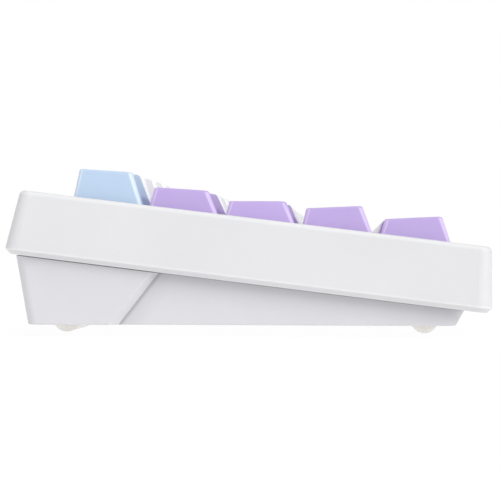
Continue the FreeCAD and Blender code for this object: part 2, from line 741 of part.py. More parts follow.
def under_band(y, gap):
    """Height of the band's lower face, less a gap, above y."""
    return ("Dims.rim_height + (%s) * tan(Dims.board_tilt) - (Dims.band_height + %s) / cos(Dims.board_tilt)"
            % (y, gap))


def bottom_case():
    """The wedge below the band: front part, proud rear block, flange inside the band, bosses and wells."""
    body = new_body("bottom_case")
    seam = "Dims.seam"
    profile = sketch(body, "wedge_outline", "YZ_Plane")
    polygon(profile, [
        ("Dims.base_rear_low", "Dims.floor_level"),
        ("Dims.base_rear_high", under_band("Dims.base_rear_high", seam)),
        ("Dims.base_front_high", under_band("Dims.base_front_high", seam)),
        ("Dims.base_front_low", "Dims.floor_level")])
    pad(body, "wedge", profile, "2 * Dims.base_half_width", both=True)
    for hand, label in ((-1, "left"), (1, "right")):
        inner = sketch(body, label + "_step_inner", "YZ_Plane", level="%d * (Dims.base_half_width - 0.02)" % hand)
        outer = sketch(body, label + "_step_outer", "YZ_Plane",
                       level="%d * (Dims.base_half_width + Dims.block_step)" % hand)
        for item, reach in ((inner, "inner"), (outer, "outer")):
            polygon(item, [
                ("Dims.base_rear_low", "Dims.floor_level"),
                ("Dims.base_rear_high", under_band("Dims.base_rear_high", seam)),
                ("Dims.step_high_" + reach, under_band("Dims.step_high_" + reach, seam)),
                ("Dims.step_low_" + reach, "Dims.floor_level")])
        loft(body, label + "_step", inner, outer)
    floor = dim("floor_level")
    step_face = dim("base_half_width") + 0.5
    dress(body, "Fillet", "soft_rear_corners",
          lambda spot: abs(spot.x) > step_face and spot.y > dim("base_rear_low") - 0.1, "2.5")
    dress(body, "Fillet", "soft_front_corners",
          lambda spot: abs(spot.x) > dim("base_half_width") - 0.1 and spot.y < dim("base_front_low") + 0.1, "2.5")
    dress(body, "Fillet", "soft_floor_edge", lambda spot: spot.z < floor + 0.01, "0.4")
    flange = sketch(body, "flange_outline_low", board="-Dims.band_height + %s" % seam)
    inside = "Dims.band_flare - Dims.band_wall - 0.5"
    rounded_rectangle(flange,
                      "-(Dims.rim_width / 2 + %s)" % inside, "Dims.rim_width / 2 + %s" % inside,
                      "Dims.rim_front - (%s)" % inside, "Dims.rim_rear + %s" % inside, "2.0")
    pad(body, "flange_plate", flange, "1.45")
    neck = sketch(body, "neck_outline", board="-Dims.band_height + %s + 0.5" % seam)
    rounded_rectangle(neck, "-(Dims.base_half_width - 0.6)", "Dims.base_half_width - 0.6",
                      "Dims.base_front_high - 1.4", "Dims.rim_rear + %s - 0.6" % inside, "2.0")
    pad(body, "neck", neck, "2.0", down=True)
    hollow = sketch(body, "hollow_outline", "YZ_Plane")
    inner_floor = "Dims.floor_level + Dims.floor_wall"
    polygon(hollow, [
        ("Dims.base_rear_low - Dims.base_wall", inner_floor),
        ("Dims.base_rear_high - Dims.base_wall - 1.6", "Dims.rim_height"),
        ("Dims.base_front_high + Dims.base_wall", "Dims.rim_height"),
        ("Dims.base_front_low + Dims.base_wall", inner_floor)])
    pocket(body, "hollow", hollow, "2 * (Dims.base_half_width - Dims.base_wall)", both=True)
    # tubes around the case screws, from the floor up to the top case's bosses
    tubes = sketch(body, "tube_outline", level="Dims.floor_level + 1.0")
    circles(tubes, "3.3", [("%g" % x, "%g" % (SCREW_Y - 0.6)) for x in SCREW_X])
    pad(body, "tubes", tubes, "%g - Dims.floor_level - 1.0" % SCREW_SEAT)
    wells = sketch(body, "well_outline", level="Dims.floor_level")
    circles(wells, "2.1", [("%g" % x, "%g" % SCREW_Y) for x in SCREW_X])
    pocket(body, "wells", wells, "%g - Dims.floor_level - 2.0" % SCREW_SEAT, down=False)
    shanks = sketch(body, "shank_outline", level="%g" % SCREW_SEAT)
    circles(shanks, "1.2", [("%g" % x, "%g" % SCREW_Y) for x in SCREW_X])
    pocket(body, "shanks", shanks, "3.0")
    # bosses that carry the circuit board, cut to its slope
    under_board = "Dims.plate_level - Dims.board_drop - Dims.board_thickness"
    for label, places in BOARD_SCREWS.items():
        boss = sketch(body, label + "_board_boss", board=under_board)
        circles(boss, "2.6", [(x, y) for x, y in places])
        height = ("(Dims.rim_height + (%s) * sin(Dims.board_tilt) + (%s) * cos(Dims.board_tilt)"
                  " - Dims.floor_level - 1.0) / cos(Dims.board_tilt)" % (places[0][1], under_board))
        pad(body, label + "_board_bosses", boss, height, down=True)
        pilot = sketch(body, label + "_board_pilot", board=under_board)
        circles(pilot, "1.02", [(x, y) for x, y in places])
        pocket(body, label + "_board_pilots", pilot, "4.8")
    # snap hooks on the front edge, which catch behind the ribs inside the band
    stalks = sketch(body, "hook_stalk_outline", board="-Dims.band_height + %s + 1.0" % seam)
    barbs = sketch(body, "hook_barb_outline", board="-6.7")
    for x in HOOK_X:
        rectangle(stalks, "12.0", "1.1", "%g" % x, "Dims.rim_front + Dims.band_wall + 2.5")
        rectangle(barbs, "12.0", "2.05", "%g" % x, "Dims.rim_front + Dims.band_wall + 2.025")
    pad(body, "hook_stalks", stalks, "10.5")
    pad(body, "hook_barbs", barbs, "1.6")
    return body


BOARD_SCREWS = {
    "rear": [("-116.7", key_y(2)), ("116.7", key_y(2))],
    "front": [("-73.0", key_y(5)), ("48.0", key_y(5))],
}


# --- plate, circuit board and what is on them --------------------------------------------------------------------

def switch_plate():
    """Steel plate with a square opening for each switch and clearance for the stabilisers and screws."""
    sheet_metal = part_box(
        "plate_blank",
        ("-Dims.plate_width / 2", "Dims.block_y - Dims.plate_depth / 2", "-Dims.plate_thickness"),
        ("Dims.plate_width / 2", "Dims.block_y + Dims.plate_depth / 2", "0"))
    half = "Dims.switch_cutout / 2"
    square = part_box("switch_hole", ("-" + half, "-" + half, "-3"), (half, half, "3"))
    holes = copies("switch_hole_at", square, ALL_SWITCHES)
    for side, label in ((1, "rear"), (-1, "front")):
        low, high = sorted((side * -4.9, side * 9.7))
        slot = part_box("stabiliser_hole_" + label, ("-3.45", str(low), "-3"), ("3.45", str(high), "3"))
        places = [(x, y, "0") for x, y, bar in stabiliser_places() if bar == side]
        holes += copies("stabiliser_hole_%s_at" % label, slot, places)
    round_hole = part_cylinder("screw_hole", "2.3", "-3", "3")
    holes += copies("screw_hole_at", round_hole,
                    [(x, y, "0") for places in BOARD_SCREWS.values() for x, y in places])
    return on_board(cut("switch_plate", sheet_metal, group("plate_holes", holes)), "Dims.plate_level")


def circuit_board():
    top = "-Dims.board_drop"
    bottom = "-Dims.board_drop - Dims.board_thickness"
    blank = part_box(
        "board_blank",
        ("-Dims.plate_width / 2", "Dims.block_y - Dims.plate_depth / 2 + Dims.board_setback", bottom),
        ("Dims.plate_width / 2", "Dims.block_y + Dims.plate_depth / 2", top))
    post = part_cylinder("post_hole", "2.05", "-9", "-3")
    pins = [part_cylinder("pin_hole_%d" % number, "0.7", "-9", "-3", "%g" % x, "%g" % y)
            for number, (x, y) in enumerate(CONTACT_PINS, start=1)]
    holes = copies("switch_holes_at", group("switch_holes", [post] + pins), ALL_SWITCHES)
    screw = part_cylinder("board_screw_hole", "1.2", "-9", "-3")
    holes += copies("board_screw_hole_at", screw,
                    [(x, y, "0") for places in BOARD_SCREWS.values() for x, y in places])
    return on_board(cut("circuit_board", blank, group("board_holes", holes)), "Dims.plate_level")


def board_electronics():
    """The controller and its small parts under the circuit board, and the socket's daughter board."""
    under = "-Dims.board_drop - Dims.board_thickness"
    chip = part_box("controller_chip", ("-83.9", "4.0", under + " - 1.4"), ("-76.9", "11.0", under))
    clock = part_box("clock_crystal", ("-73.6", "5.2", under + " - 0.9"), ("-70.4", "7.7", under))
    header = part_box("cable_header", ("-96.0", "4.2", under + " - 2.6"), ("-92.0", "12.2", under))
    socket_board_top = "%g - Dims.plate_level" % (SOCKET_LEVEL - SOCKET_HEIGHT / 2)
    socket_board = part_box("socket_board", ("%g" % (SOCKET_X - 8), "44.6", socket_board_top + " - 1.0"),
                            ("%g" % (SOCKET_X + 8), "53.0", socket_board_top))
    diode = part_box("diode_master", ("-1.3", "-8.2", under + " - 0.7"), ("1.3", "-7.0", under))
    diodes = copies("diode_at", diode, ALL_SWITCHES)
    return on_board(group("board_electronics", [chip, clock, header, socket_board] + diodes), "Dims.plate_level")


def usb_c_socket():
    """The socket shell with its tongue on a small board behind the port."""
    body = new_body("usb_c_socket")
    middle = "%g" % SOCKET_LEVEL
    shell = sketch(body, "shell_outline", "XZ_Plane", level="-Dims.rim_rear + 2.0")
    half = SOCKET_WIDTH / 2
    low, high = "%s - %g" % (middle, SOCKET_HEIGHT / 2), "%s + %g" % (middle, SOCKET_HEIGHT / 2)
    rounded_rectangle(shell, "%g" % (SOCKET_X - half), "%g" % (SOCKET_X + half), low, high, "1.3")
    pad(body, "shell", shell, "7.4")
    mouth = sketch(body, "mouth_outline", "XZ_Plane", level="-Dims.rim_rear + 2.0")
    rounded_rectangle(mouth, "%g" % (SOCKET_X - half + 0.3), "%g" % (SOCKET_X + half - 0.3),
                      low + " + 0.3", high + " - 0.3", "1.0")
    pocket(body, "mouth", mouth, "6.4", down=False)
    tongue = sketch(body, "tongue_outline", "XZ_Plane", level="-Dims.rim_rear + 3.2")
    rectangle(tongue, "6.6", "0.7", "%g" % SOCKET_X, middle)
    pad(body, "tongue", tongue, "5.6")
    return on_board(body)


def screw():
    """A short round-headed screw, z = 0 under its head, with a cross recess."""
    body = new_body("screw_master")
    profile = sketch(body, "screw_profile", "XZ_Plane")
    polygon(profile, [(str(x), str(z)) for x, z in [
        (0.0, -1.3), (1.4, -1.3), (1.8, -0.9), (1.8, 0.0), (1.0, 0.0), (1.0, 5.6), (0.6, 6.0), (0.0, 6.0)]])
    turned = body.newObject("PartDesign::Revolution", "turned_screw")
    turned.Profile = profile
    turned.ReferenceAxis = (profile, ["V_Axis"])
    turned.Angle = 360
    doc.recompute()
    recess = sketch(body, "recess_outline", level="-1.3")
    cross(recess, 0, 2.0, 0.5)
    pocket(body, "recess", recess, "0.8", down=False)
    return body


def screws(master):
    """Case screws stand upright with their heads below; the board's screws go in from above."""
    items = []
    for number, x in enumerate(SCREW_X, start=1):
        link = doc.addObject("App::Link", "case_screw_%d" % number)
        link.LinkedObject = master
        link.LinkTransform = True
        link.Placement = Placement(Vector(x, SCREW_Y, SCREW_SEAT - 2.0), Rotation())
        items.append(link)
    number = 0
    for places in BOARD_SCREWS.values():
        for x, y in places:
            number += 1
            link = doc.addObject("App::Link", "board_screw_%d" % number)
            link.LinkedObject = master
            link.LinkTransform = True
            link.Placement = Placement(Vector(), Rotation(Vector(1, 0, 0), 181))
            level = "(Dims.plate_level - Dims.board_drop)"
            bind(link,
                 Placement__Rotation__Angle="180 + Dims.board_tilt",
                 Placement__Base__x=x,
                 Placement__Base__y="(%s) * cos(Dims.board_tilt) - %s * sin(Dims.board_tilt)" % (y, level),
                 Placement__Base__z="Dims.rim_height + (%s) * sin(Dims.board_tilt) + %s * cos(Dims.board_tilt)"
                 % (y, level))
            items.append(link)
    return group("screws", items)


def rubber_feet():
    """Four half-round bars under the floor, flat on their soles and round at their ends."""
    body = new_body("foot_master")
    sole = sketch(body, "sole_outline")
    half = "Dims.foot_length / 2 - 1.5"
    side = "Dims.foot_sole / 2"
    rounded_rectangle(sole, "-(%s)" % half, half, "-" + side, side, "2.2")
    middle = sketch(body, "middle_outline", level="1.2")
    half = "Dims.foot_length / 2 - 0.35"
    side = "Dims.foot_width / 2 - 0.35"
    rounded_rectangle(middle, "-(%s)" % half, half, "-(%s)" % side, side, "3.4")
    loft(body, "foot_lower", sole, middle)
    again = sketch(body, "middle_again_outline", level="1.2")
    rounded_rectangle(again, "-(%s)" % half, half, "-(%s)" % side, side, "3.4")
    seat = sketch(body, "seat_outline", level="Dims.floor_level")
    half = "Dims.foot_length / 2"
    side = "Dims.foot_width / 2"
    rounded_rectangle(seat, "-" + half, half, "-" + side, side, "3.8")
    loft(body, "foot_upper", again, seat)
    places = [("%s Dims.foot_x" % sign, y, "0")
              for y in ("Dims.rear_foot_y", "Dims.front_foot_y") for sign in ("-", "")]
    return group("rubber_feet", copies("foot_at", body, places))


# --- assembly -----------------------------------------------------------------------------------------------------

def assemble_keys():
    """Each key is its cap, its slider and the stems of its stabiliser, all moving together."""
    caps = {}
    key_slider = slider("slider_master", "8.4", "6.4", "1.6", "5.1", with_pin=True)
    stems = {1: stabiliser_stem(1), -1: stabiliser_stem(-1)}
    owners = {key: name for name, members in SHARED_BODIES.items() for key in members}
    contents = {}
    for name, row, left, width in KEYS:
        if (row, width) not in caps:
            caps[row, width] = keycap(row, width)
        x, y = key_x(left, width), key_y(row)
        cap_level = "-Dims.skirt_drop - Dims.plate_level"
        pieces = copies(name + "_cap", caps[row, width], [(x, y, cap_level)])
        pieces += copies(name + "_slider", key_slider, [(x, y, "0")])
        if name in STABILISED:
            reach, side = STABILISED[name]
            pieces += copies(name + "_stem", stems[side],
                             [("%s + %g" % (x, hand * reach), y, "0") for hand in (-1, 1)])
        owner = owners.get(name, name + "_key")
        contents.setdefault(owner, []).extend(pieces)
    return [on_board(group(owner, pieces), "Dims.plate_level") for owner, pieces in contents.items()]


def assemble_stabilisers():
    parts = []
    housings = []
    for side in (1, -1):
        places = [(x, y, "0") for x, y, bar in stabiliser_places() if bar == side]
        label = "rear" if side > 0 else "front"
        housings += copies("stabiliser_housing_%s_at" % label, stabiliser_housing(side), places)
    parts.append(on_board(group("stabiliser_housings", housings), "Dims.plate_level"))
    for name, (reach, side) in STABILISED.items():
        row, left, width = KEY_PLACES[name]
        bent = stabiliser_wire(name + "_bent_wire", reach, side)
        link = copies(name + "_wire", bent, [(key_x(left, width), key_y(row), "0")])
        parts.append(on_board(group(name + "_stabiliser_wire", link), "Dims.plate_level"))
    return parts


def switch_group(name, master):
    return on_board(group(name, copies(name + "_at", master, ALL_SWITCHES)), "Dims.plate_level")


def build():
    parts = [top_case(), bottom_case(), switch_plate(), circuit_board(), board_electronics(), usb_c_socket(),
             screws(screw()), rubber_feet()]
    parts.append(switch_group("switch_lower_housings", lower_housing()))
    parts.append(switch_group("switch_upper_housings", upper_housing()))
    parts.append(switch_group("switch_contacts", contact_pair()))
    parts.append(switch_group("switch_springs", spring()))
    parts.append(switch_group("hot_swap_sockets", hot_swap_socket()))
    parts += assemble_stabilisers()
    parts += assemble_keys()
    doc.recompute()
    return parts


def export(parts):
    for item in doc.Objects:
        if "Invalid" in item.State or "Error" in item.State:
            raise RuntimeError("%s did not recompute: %s" % (item.Name, item.State))
    for item in parts:
        if item.Shape.isNull() or not item.Shape.isValid():
            raise RuntimeError("%s has no valid shape" % item.Label)
    os.makedirs("parts", exist_ok=True)
    for item in parts:
        item.Shape.exportStep("parts/%s.step" % item.Label)
    print("%d parts, %d solids" % (len(parts), sum(len(item.Shape.Solids) for item in parts)))


export(build())
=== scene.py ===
import json
import math

import bmesh
import bpy
from mathutils import Matrix, Vector


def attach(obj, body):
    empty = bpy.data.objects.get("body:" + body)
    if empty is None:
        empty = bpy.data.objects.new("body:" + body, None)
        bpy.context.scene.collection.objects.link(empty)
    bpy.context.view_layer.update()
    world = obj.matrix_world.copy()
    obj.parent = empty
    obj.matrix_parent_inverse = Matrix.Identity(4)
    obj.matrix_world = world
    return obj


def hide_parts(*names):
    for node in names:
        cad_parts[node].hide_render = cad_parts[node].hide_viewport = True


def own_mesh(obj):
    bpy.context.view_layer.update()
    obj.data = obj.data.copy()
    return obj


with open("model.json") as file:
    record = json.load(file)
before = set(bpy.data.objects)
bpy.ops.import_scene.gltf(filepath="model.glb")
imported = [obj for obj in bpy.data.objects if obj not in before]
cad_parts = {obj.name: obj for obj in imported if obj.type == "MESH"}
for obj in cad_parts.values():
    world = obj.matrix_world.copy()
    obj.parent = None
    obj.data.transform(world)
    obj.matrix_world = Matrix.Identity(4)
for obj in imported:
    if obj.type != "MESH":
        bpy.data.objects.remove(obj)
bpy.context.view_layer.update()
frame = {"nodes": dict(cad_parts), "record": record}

# Looks of a five-row mechanical keyboard.  Lengths in this script are millimetres unless a name says otherwise;
# MM turns them into the metres of the frame.  The board frame is the world frame turned about X by the slope of
# the typing surface and lifted to the case's rim; the switch frame is the board frame lowered to the plate.

MM = 0.001
TILT = math.radians(7.0)
RIM_HEIGHT = 28.97
PLATE_LEVEL = -8.3
CAP_LEVEL = -1.6
PITCH = 19.05
CAP_GAP = 0.95
BLOCK_WIDTH = 285.75
BLOCK_Y = -3.4

BOARD = Matrix.Translation((0, 0, RIM_HEIGHT)) @ Matrix.Rotation(TILT, 4, "X")
NORMAL = Vector((0, -math.sin(TILT), math.cos(TILT)))

# Top edge of the caps in each row, from the key's middle and the cap's lower edge: rear reach and rise, front
# reach and rise.
ROW_PROFILES = {
    1: (8.9, 8.8, -4.5, 9.5),
    2: (8.6, 6.45, -4.9, 7.2),
    3: (8.6, 5.25, -5.3, 6.9),
    4: (8.5, 5.75, -5.1, 8.0),
    5: (8.1, 5.4, -5.8, 7.8),
}


def line_of_keys(row, left, names, legends, width=1.0):
    return [(name, row, left + index * width, width, legend)
            for index, (name, legend) in enumerate(zip(names, legends))]


NUMBER_KEYS = ["one", "two", "three", "four", "five", "six", "seven", "eight", "nine", "zero", "minus", "equals"]
NUMBER_LEGENDS = ["!\n1", "@\n2", "#\n3", "$\n4", "%\n5", "^\n6", "&\n7", "*\n8", "(\n9", ")\n0", "_\n-", "+\n="]
# name, row, left edge and width in key units, legend
KEYS = (
    [("escape", 1, 0, 1, "esc")]
    + line_of_keys(1, 1, NUMBER_KEYS, NUMBER_LEGENDS)
    + [("backspace", 1, 13, 2, "backspace"), ("tab", 2, 0, 1.5, "tab")]
    + line_of_keys(2, 1.5, list("qwertyuiop") + ["left_bracket", "right_bracket"],
                   list("QWERTYUIOP") + ["{\n[", "}\n]"])
    + [("backslash", 2, 13.5, 1.5, "|\n\\"), ("caps_lock", 3, 0, 1.75, "caps")]
    + line_of_keys(3, 1.75, list("asdfghjkl") + ["semicolon", "quote"], list("ASDFGHJKL") + [":\n;", "\"\n'"])
    + [("enter", 3, 12.75, 2.25, "enter"), ("left_shift", 4, 0, 2.25, "shift")]
    + line_of_keys(4, 2.25, list("zxcvbnm") + ["comma", "period", "slash"],
                   list("ZXCVBNM") + ["<\n,", ">\n.", "?\n/"])
    + [("right_shift", 4, 12.25, 2.75, "shift")]
    + line_of_keys(5, 0, ["left_control", "command", "left_alt"], ["ctrl", "cmd", "alt"], 1.25)
    + [("space", 5, 3.75, 6.25, "")]
    + line_of_keys(5, 10, ["right_alt", "function", "menu", "right_control"], ["alt", "fn", "menu", "ctrl"], 1.25)
)

SHARED_BODIES = {
    "number_row_keys": NUMBER_KEYS,
    "punctuation_keys": ["left_bracket", "right_bracket", "backslash", "semicolon", "quote", "comma",
                         "period", "slash"],
    "right_corner_keys": ["right_alt", "function", "menu"],
}
OWNER = {key: body for body, members in SHARED_BODIES.items() for key in members}
PURPLE_KEYS = {"tab", "caps_lock", "left_shift", "left_control", "backspace", "right_shift", "right_control"}
BLUE_KEYS = {"escape", "enter"}
STABILISER_REACH = {2: 11.94, 2.25: 11.94, 2.75: 11.94, 6.25: 50.0}


def body_of_key(name):
    return OWNER.get(name, name + "_key")


def key_centre(row, left, width):
    return PITCH * (left + width / 2) - BLOCK_WIDTH / 2, BLOCK_Y + PITCH * (3 - row)


# --- materials ------------------------------------------------------------------------------------------------------

def linear(colour):
    """Linear value of an sRGB colour given from 0 to 255."""
    channels = [c / 255 for c in colour]
    return tuple(c / 12.92 if c <= 0.04045 else ((c + 0.055) / 1.055) ** 2.4 for c in channels) + (1.0,)


class Nodes:
    """A short way to write a node tree."""

    def __init__(self, name):
        self.material = bpy.data.materials.new(name)
        self.material.use_nodes = True
        self.tree = self.material.node_tree
        self.shader = self.tree.nodes["Principled BSDF"]
        self.place = self.add("ShaderNodeTexCoord").outputs["Object"]

    def add(self, kind, inputs=None, **settings):
        node = self.tree.nodes.new(kind)
        for key, value in settings.items():
            setattr(node, key, value)
        for key, value in (inputs or {}).items():
            self.set(node.inputs[key], value)
        return node

    def set(self, socket, value):
        if isinstance(value, bpy.types.NodeSocket):
            self.tree.links.new(value, socket)
        else:
            socket.default_value = value

    def noise(self, size, detail=2.0, roughness=0.5, place=None):
        """Noise whose features are about size millimetres across."""
        node = self.add("ShaderNodeTexNoise", {
            "Vector": place or self.place, "Scale": 1 / (size * MM), "Detail": detail, "Roughness": roughness})
        return node.outputs["Fac"]

    def cells(self, size):
        """Distance to the middle of cells about size millimetres across."""
        node = self.add("ShaderNodeTexVoronoi", {"Vector": self.place, "Scale": 1 / (size * MM)})
        return node.outputs["Distance"]

    def stretch(self, scale):
        """The place with each axis scaled, for grain that runs one way."""
        return self.add("ShaderNodeMapping", {"Vector": self.place, "Scale": scale}).outputs["Vector"]

    def span(self, value, low, high, to_low=0.0, to_high=1.0):
        node = self.add("ShaderNodeMapRange", {"Value": value, "From Min": low, "From Max": high,
                                               "To Min": to_low, "To Max": to_high})
        return node.outputs["Result"]

    def sum(self, a, b, operation="ADD"):
        node = self.add("ShaderNodeMath", operation=operation)
        self.set(node.inputs[0], a)
        self.set(node.inputs[1], b)
        return node.outputs[0]

    def mix(self, share, a, b):
        """Colour a where the share is 0 and colour b where it is 1."""
        node = self.add("ShaderNodeMix", data_type="RGBA")
        self.set(node.inputs["Factor"], share)
        self.set(node.inputs[6], a)
        self.set(node.inputs[7], b)
        return node.outputs[2]

    def edges(self, width):
        """1 along edges and 0 on flat faces: how far a normal rounded over width millimetres turns."""
        soft = self.add("ShaderNodeBevel", {"Radius": width * MM}, samples=4).outputs["Normal"]
        sharp = self.add("ShaderNodeNewGeometry").outputs["Normal"]
        node = self.add("ShaderNodeVectorMath", operation="DOT_PRODUCT")
        self.set(node.inputs[0], soft)
        self.set(node.inputs[1], sharp)
        return self.span(node.outputs["Value"], 0.995, 0.90)

    def creases(self, reach, shut):
        """0 in the open and 1 in inside corners open no wider than shut, looking reach millimetres around."""
        node = self.add("ShaderNodeAmbientOcclusion", {"Distance": reach * MM}, samples=6)
        return self.span(node.outputs["AO"], 0.97, shut)

    def bump(self, height, depth):
        """Bump whose full height is depth millimetres."""
        node = self.add("ShaderNodeBump", {"Height": height, "Distance": depth * MM, "Strength": 1.0})
        self.set(self.shader.inputs["Normal"], node.outputs["Normal"])

    def finish(self, colour, roughness, **sockets):
        self.set(self.shader.inputs["Base Color"], colour)
        self.set(self.shader.inputs["Roughness"], roughness)
        for name, value in sockets.items():
            self.shader.inputs[name.replace("_", " ")].default_value = value
        return self.material


def moulded(name, colour, roughness, grain, depth, edge_width, mottle, gloss=0.5, subsurface=0.0,
            crease_shade=0.35, reach=1.6, shut=0.70, edge_wear_and_highlight=(0.10, 0.012), shadow=None, corner=None):
    """Moulded plastic: spark-eroded grain, faint cloudiness, dust in the grain, and edges made paler partly by wear
    and partly as a painted highlight.

    crease is how much painted shade darkens the inside corners, looking reach millimetres around; polish is how much
    paler the edges are, from wear and a painted highlight, as a factor and a step; shadow gives a mask of more
    painted shade; corner is the colour of the painted highlight on the upright corners.
    """
    n = Nodes(name)
    cloud = n.noise(26, detail=4.0, roughness=0.6)
    fine = n.noise(grain, detail=3.0, roughness=0.65)
    pits = n.cells(grain * 1.7)
    dust = n.span(n.noise(3.2, detail=5.0, roughness=0.7), 0.52, 0.78)
    base = linear(colour)
    deep = tuple(c * (1 - 2.2 * mottle) for c in base[:3]) + (1.0,)
    pale = tuple(min(1.0, c * (1 + mottle)) for c in base[:3]) + (1.0,)
    tone = n.mix(n.span(cloud, 0.3, 0.7), deep, pale)
    tone = n.mix(n.sum(n.span(fine, 0.35, 0.65), 0.10, "MULTIPLY"), tone, deep)
    tone = n.mix(n.sum(dust, 0.05, "MULTIPLY"), tone, linear((214, 208, 198)))
    # edges made paler, partly as wear and partly as a painted highlight
    worn = n.edges(edge_width)
    wear_and_highlight_tone = tuple(min(1.0, c * (1 + edge_wear_and_highlight[0]) + edge_wear_and_highlight[1]) for c in base[:3]) + (1.0,)
    tone = n.mix(n.sum(worn, 0.45, "MULTIPLY"), tone, wear_and_highlight_tone)
    # painted shade: inside corners found by ambient occlusion, and the shadow mask if given, darken towards this
    # colour
    painted_shade = tuple(c * 0.62 for c in base[:3]) + (1.0,)
    tone = n.mix(n.sum(n.creases(reach, shut), crease_shade, "MULTIPLY"), tone, painted_shade)
    if shadow:
        tone = n.mix(shadow(n), tone, painted_shade)
    # painted highlight along the caps' upright corners
    if corner:
        corner_highlight = n.add("ShaderNodeAttribute", attribute_name="corner").outputs["Fac"]
        tone = n.mix(n.sum(corner_highlight, 0.75, "MULTIPLY"), tone, linear(corner))
    rough = n.sum(n.span(cloud, 0.3, 0.7, roughness - 0.05, roughness + 0.05),
                  n.span(fine, 0.3, 0.7, -0.04, 0.04))
    rough = n.sum(rough, n.sum(worn, -0.13, "MULTIPLY"))
    rough = n.sum(rough, n.sum(dust, 0.06, "MULTIPLY"))
    n.bump(n.sum(fine, n.sum(pits, 0.55, "MULTIPLY")), depth)
    sockets = {"Specular_IOR_Level": gloss}
    if subsurface:
        n.shader.inputs["Subsurface Radius"].default_value = (0.0016, 0.0014, 0.0013)
        n.shader.inputs["Subsurface Scale"].default_value = 1.0
        sockets["Subsurface_Weight"] = subsurface
    return n.finish(tone, rough, **sockets)


# The lower case's side walls lie further out than SIDE_WALL_X.  Their diagonal step has its foot at STEP_FOOT, and
# STEP_AHEAD is the direction that faces forwards from it.
SIDE_WALL_X = 149.3
STEP_FOOT_Y, STEP_FOOT_Z = 30.6, 3.05
STEP_AHEAD_Y, STEP_AHEAD_Z = -0.788, -0.616
BAND_DROP = 15.77    # the band's lower edge below the rim


def step_shadow(n):
    """Shade painted on the lower case's sides: along the foot of the diagonal step and under the band's overhang.

    It adds to the shadows that the lamps cast there, and stays as it is under any light.
    """
    place = n.add("ShaderNodeSeparateXYZ", {"Vector": n.place}).outputs
    outside = n.span(n.sum(place["X"], 0, "ABSOLUTE"), SIDE_WALL_X * MM, (SIDE_WALL_X + 0.1) * MM)
    # distance in front of the step's foot, a line that leans forwards from the floor to the band
    ahead = n.sum(n.sum(n.sum(place["Y"], -STEP_FOOT_Y * MM), STEP_AHEAD_Y, "MULTIPLY"),
                  n.sum(n.sum(place["Z"], -STEP_FOOT_Z * MM), STEP_AHEAD_Z, "MULTIPLY"))
    # a dark line at the foot and a wide fade ahead of it, both ending on the step itself
    foot = n.sum(n.sum(n.span(ahead, 0.1 * MM, 0.9 * MM, 0.80, 0.0), n.span(ahead, 0.2 * MM, 5 * MM, 0.34, 0.0)),
                 n.span(ahead, -0.12 * MM, 0.0), "MULTIPLY")
    below = n.sum(n.sum(n.sum(place["Y"], math.tan(TILT), "MULTIPLY"), (RIM_HEIGHT - BAND_DROP) * MM), place["Z"],
                  "SUBTRACT")
    recess = n.span(ahead, -0.6 * MM, 0.6 * MM, 0.4, 1.0)
    under = n.sum(n.sum(n.span(below, 0.0, 9 * MM, 1.0, 0.0), 2.0, "POWER"), n.sum(recess, 0.14, "MULTIPLY"),
                  "MULTIPLY")
    return n.sum(n.sum(foot, under, "MAXIMUM"), outside, "MULTIPLY")


def clear_plastic(name, colour, roughness):
    """Smoky, slightly translucent plastic with flow marks from its gate."""
    n = Nodes(name)
    cloud = n.noise(4.0, detail=4.0)
    flow = n.noise(0.8, place=n.stretch((1, 1, 0.15)), detail=3.0)
    base = linear(colour)
    tone = n.mix(n.span(cloud, 0.3, 0.7), tuple(c * 0.9 for c in base[:3]) + (1.0,), base)
    tone = n.mix(n.sum(n.edges(0.25), 0.5, "MULTIPLY"), tone, linear((250, 250, 252)))
    n.bump(flow, 0.01)
    n.shader.inputs["Subsurface Radius"].default_value = (0.002, 0.002, 0.002)
    return n.finish(tone, n.span(flow, 0.3, 0.7, roughness - 0.06, roughness + 0.06), Subsurface_Weight=0.25)


def metal(name, colour, roughness, along=(1, 1, 1), tarnish=(120, 104, 84)):
    """Drawn or stamped metal with marks that run along it, stains and brighter edges."""
    n = Nodes(name)
    marks = n.noise(0.18, place=n.stretch(along), detail=4.0, roughness=0.7)
    cloud = n.noise(5.0, detail=4.0)
    base = linear(colour)
    tone = n.mix(n.span(marks, 0.3, 0.7), tuple(c * 0.84 for c in base[:3]) + (1.0,), base)
    tone = n.mix(n.sum(n.span(cloud, 0.5, 0.8), 0.12, "MULTIPLY"), tone, linear(tarnish))
    worn = n.edges(0.15)
    tone = n.mix(n.sum(worn, 0.4, "MULTIPLY"), tone, linear((245, 244, 240)))
    rough = n.sum(n.span(marks, 0.3, 0.7, roughness - 0.07, roughness + 0.07), n.sum(worn, -0.08, "MULTIPLY"))
    n.bump(marks, 0.006)
    return n.finish(tone, rough, Metallic=1.0)


def painted_plate(name):
    """Pale powder coat: a fine orange peel with tiny pinholes."""
    n = Nodes(name)
    peel = n.noise(1.1, detail=1.5)
    specks = n.span(n.cells(0.5), 0.05, 0.22)
    cloud = n.noise(30, detail=3.0)
    tone = n.mix(n.span(cloud, 0.3, 0.7), linear((222, 222, 226)), linear((236, 236, 239)))
    tone = n.mix(n.sum(n.sum(1.0, specks, "SUBTRACT"), 0.08, "MULTIPLY"), tone, linear((150, 150, 156)))
    tone = n.mix(n.sum(n.edges(0.3), 0.35, "MULTIPLY"), tone, linear((250, 250, 251)))
    n.bump(n.sum(peel, n.sum(specks, 0.3, "MULTIPLY")), 0.03)
    return n.finish(tone, n.span(peel, 0.3, 0.7, 0.36, 0.5))


